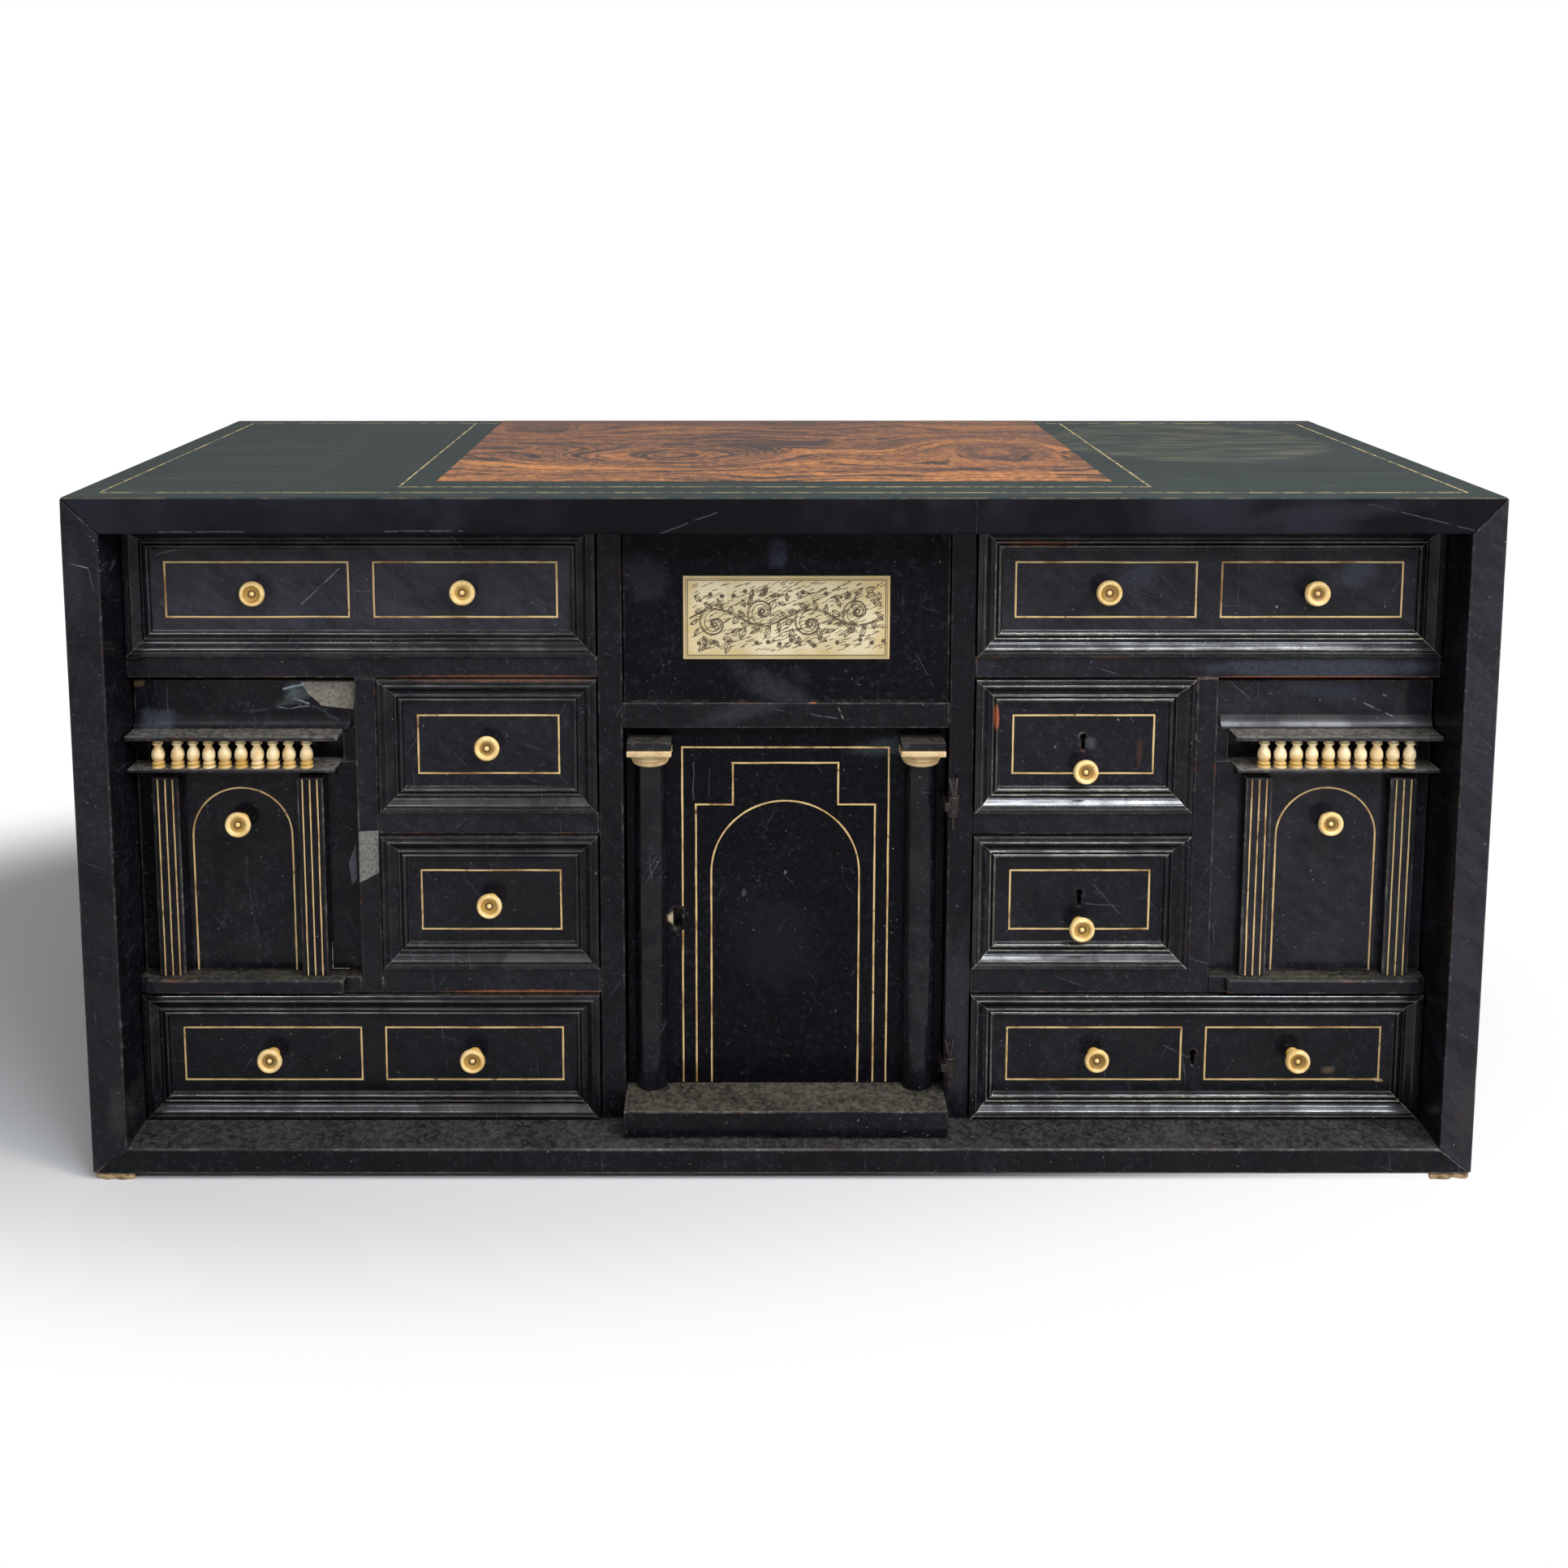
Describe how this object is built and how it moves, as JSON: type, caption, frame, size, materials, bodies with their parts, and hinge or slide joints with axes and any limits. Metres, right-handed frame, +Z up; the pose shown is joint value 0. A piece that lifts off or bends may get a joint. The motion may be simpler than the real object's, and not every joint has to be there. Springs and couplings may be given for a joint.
{
  "type": "table cabinet",
  "caption": "Low black table cabinet with moulded drawers either side of a columned centre door, pale inlaid lines, turned knobs and a figured veneer top.",
  "frame": {"origin": "middle of the footprint, on the surface that the four pads stand on", "axes": "+X to the right seen from the front, +Y to the back, +Z up"},
  "size_m": [0.88, 0.36, 0.4425],
  "materials": {
    "ebonised": "worn black polish",
    "stained_top": "black-green stain, satin",
    "burr_veneer": "waxed burr veneer",
    "bone": "aged bone, satin",
    "engraved_bone": "engraved bone plate",
    "drawer_lining": "plain old softwood",
    "back_board": "rough old softwood",
    "iron": "rusty wrought iron",
    "pad": "crumbled cork and glue"
  },
  "bodies": {
    "case": {"case_base": "ebonised", "case_right_side": "ebonised", "case_top": "stained_top", "case_left_side": "ebonised", "case_back": "back_board", "top_veneer": "burr_veneer", "top_lines": "bone", "foot_pads": "pad", "left_partition": "ebonised", "right_partition": "ebonised", "centre_rail": "ebonised", "door_sill": "ebonised", "hinge_staples": "iron", "left_bay_dividers": "ebonised", "right_bay_dividers": "ebonised"},
    "door": {"door_panel": "ebonised", "door_columns": "ebonised", "door_capitals": "bone", "door_lines": "bone", "door_lock": "iron", "door_hinge_eyes": "iron"},
    "frieze_drawer": {"frieze_drawer_front": "ebonised", "frieze_drawer_box": "drawer_lining", "frieze_drawer_plaque": "engraved_bone"},
    "top_left_drawer": {"top_left_drawer_front": "ebonised", "top_left_drawer_box": "drawer_lining", "top_left_drawer_bone": "bone"},
    "bottom_left_drawer": {"bottom_left_drawer_front": "ebonised", "bottom_left_drawer_box": "drawer_lining", "bottom_left_drawer_bone": "bone"},
    "upper_small_left_drawer": {"upper_small_left_drawer_front": "ebonised", "upper_small_left_drawer_box": "drawer_lining", "upper_small_left_drawer_bone": "bone"},
    "lower_small_left_drawer": {"lower_small_left_drawer_front": "ebonised", "lower_small_left_drawer_box": "drawer_lining", "lower_small_left_drawer_bone": "bone"},
    "temple_left_drawer": {"temple_left_drawer_front": "ebonised", "temple_left_drawer_box": "drawer_lining", "temple_left_drawer_bone": "bone", "temple_left_drawer_balusters": "bone"},
    "top_right_drawer": {"top_right_drawer_front": "ebonised", "top_right_drawer_box": "drawer_lining", "top_right_drawer_bone": "bone"},
    "bottom_right_drawer": {"bottom_right_drawer_lock": "iron", "bottom_right_drawer_front": "ebonised", "bottom_right_drawer_box": "drawer_lining", "bottom_right_drawer_bone": "bone"},
    "upper_small_right_drawer": {"upper_small_right_drawer_lock": "iron", "upper_small_right_drawer_front": "ebonised", "upper_small_right_drawer_box": "drawer_lining", "upper_small_right_drawer_bone": "bone"},
    "lower_small_right_drawer": {"lower_small_right_drawer_lock": "iron", "lower_small_right_drawer_front": "ebonised", "lower_small_right_drawer_box": "drawer_lining", "lower_small_right_drawer_bone": "bone"},
    "temple_right_drawer": {"temple_right_drawer_front": "ebonised", "temple_right_drawer_box": "drawer_lining", "temple_right_drawer_bone": "bone", "temple_right_drawer_balusters": "bone"}
  },
  "joints": [
    {"name": "door_hinge", "type": "hinge", "parent": "case", "child": "door", "pos_m": [0.10961, -0.148, 0.1631], "axis": [0, 0, 1], "range_deg": [0, 90]},
    {"name": "frieze_drawer_slide", "type": "slide", "parent": "case", "child": "frieze_drawer", "axis": [0, -1, 0], "range_m": [0, 0.22]},
    {"name": "top_left_drawer_slide", "type": "slide", "parent": "case", "child": "top_left_drawer", "axis": [0, -1, 0], "range_m": [0, 0.22]},
    {"name": "bottom_left_drawer_slide", "type": "slide", "parent": "case", "child": "bottom_left_drawer", "axis": [0, -1, 0], "range_m": [0, 0.22]},
    {"name": "upper_small_left_drawer_slide", "type": "slide", "parent": "case", "child": "upper_small_left_drawer", "axis": [0, -1, 0], "range_m": [0, 0.22]},
    {"name": "lower_small_left_drawer_slide", "type": "slide", "parent": "case", "child": "lower_small_left_drawer", "axis": [0, -1, 0], "range_m": [0, 0.22]},
    {"name": "temple_left_drawer_slide", "type": "slide", "parent": "case", "child": "temple_left_drawer", "axis": [0, -1, 0], "range_m": [0, 0.22]},
    {"name": "top_right_drawer_slide", "type": "slide", "parent": "case", "child": "top_right_drawer", "axis": [0, -1, 0], "range_m": [0, 0.22]},
    {"name": "bottom_right_drawer_slide", "type": "slide", "parent": "case", "child": "bottom_right_drawer", "axis": [0, -1, 0], "range_m": [0, 0.22]},
    {"name": "upper_small_right_drawer_slide", "type": "slide", "parent": "case", "child": "upper_small_right_drawer", "axis": [0, -1, 0], "range_m": [0, 0.22]},
    {"name": "lower_small_right_drawer_slide", "type": "slide", "parent": "case", "child": "lower_small_right_drawer", "axis": [0, -1, 0], "range_m": [0, 0.22]},
    {"name": "temple_right_drawer_slide", "type": "slide", "parent": "case", "child": "temple_right_drawer", "axis": [0, -1, 0], "range_m": [0, 0.22]}
  ]
}
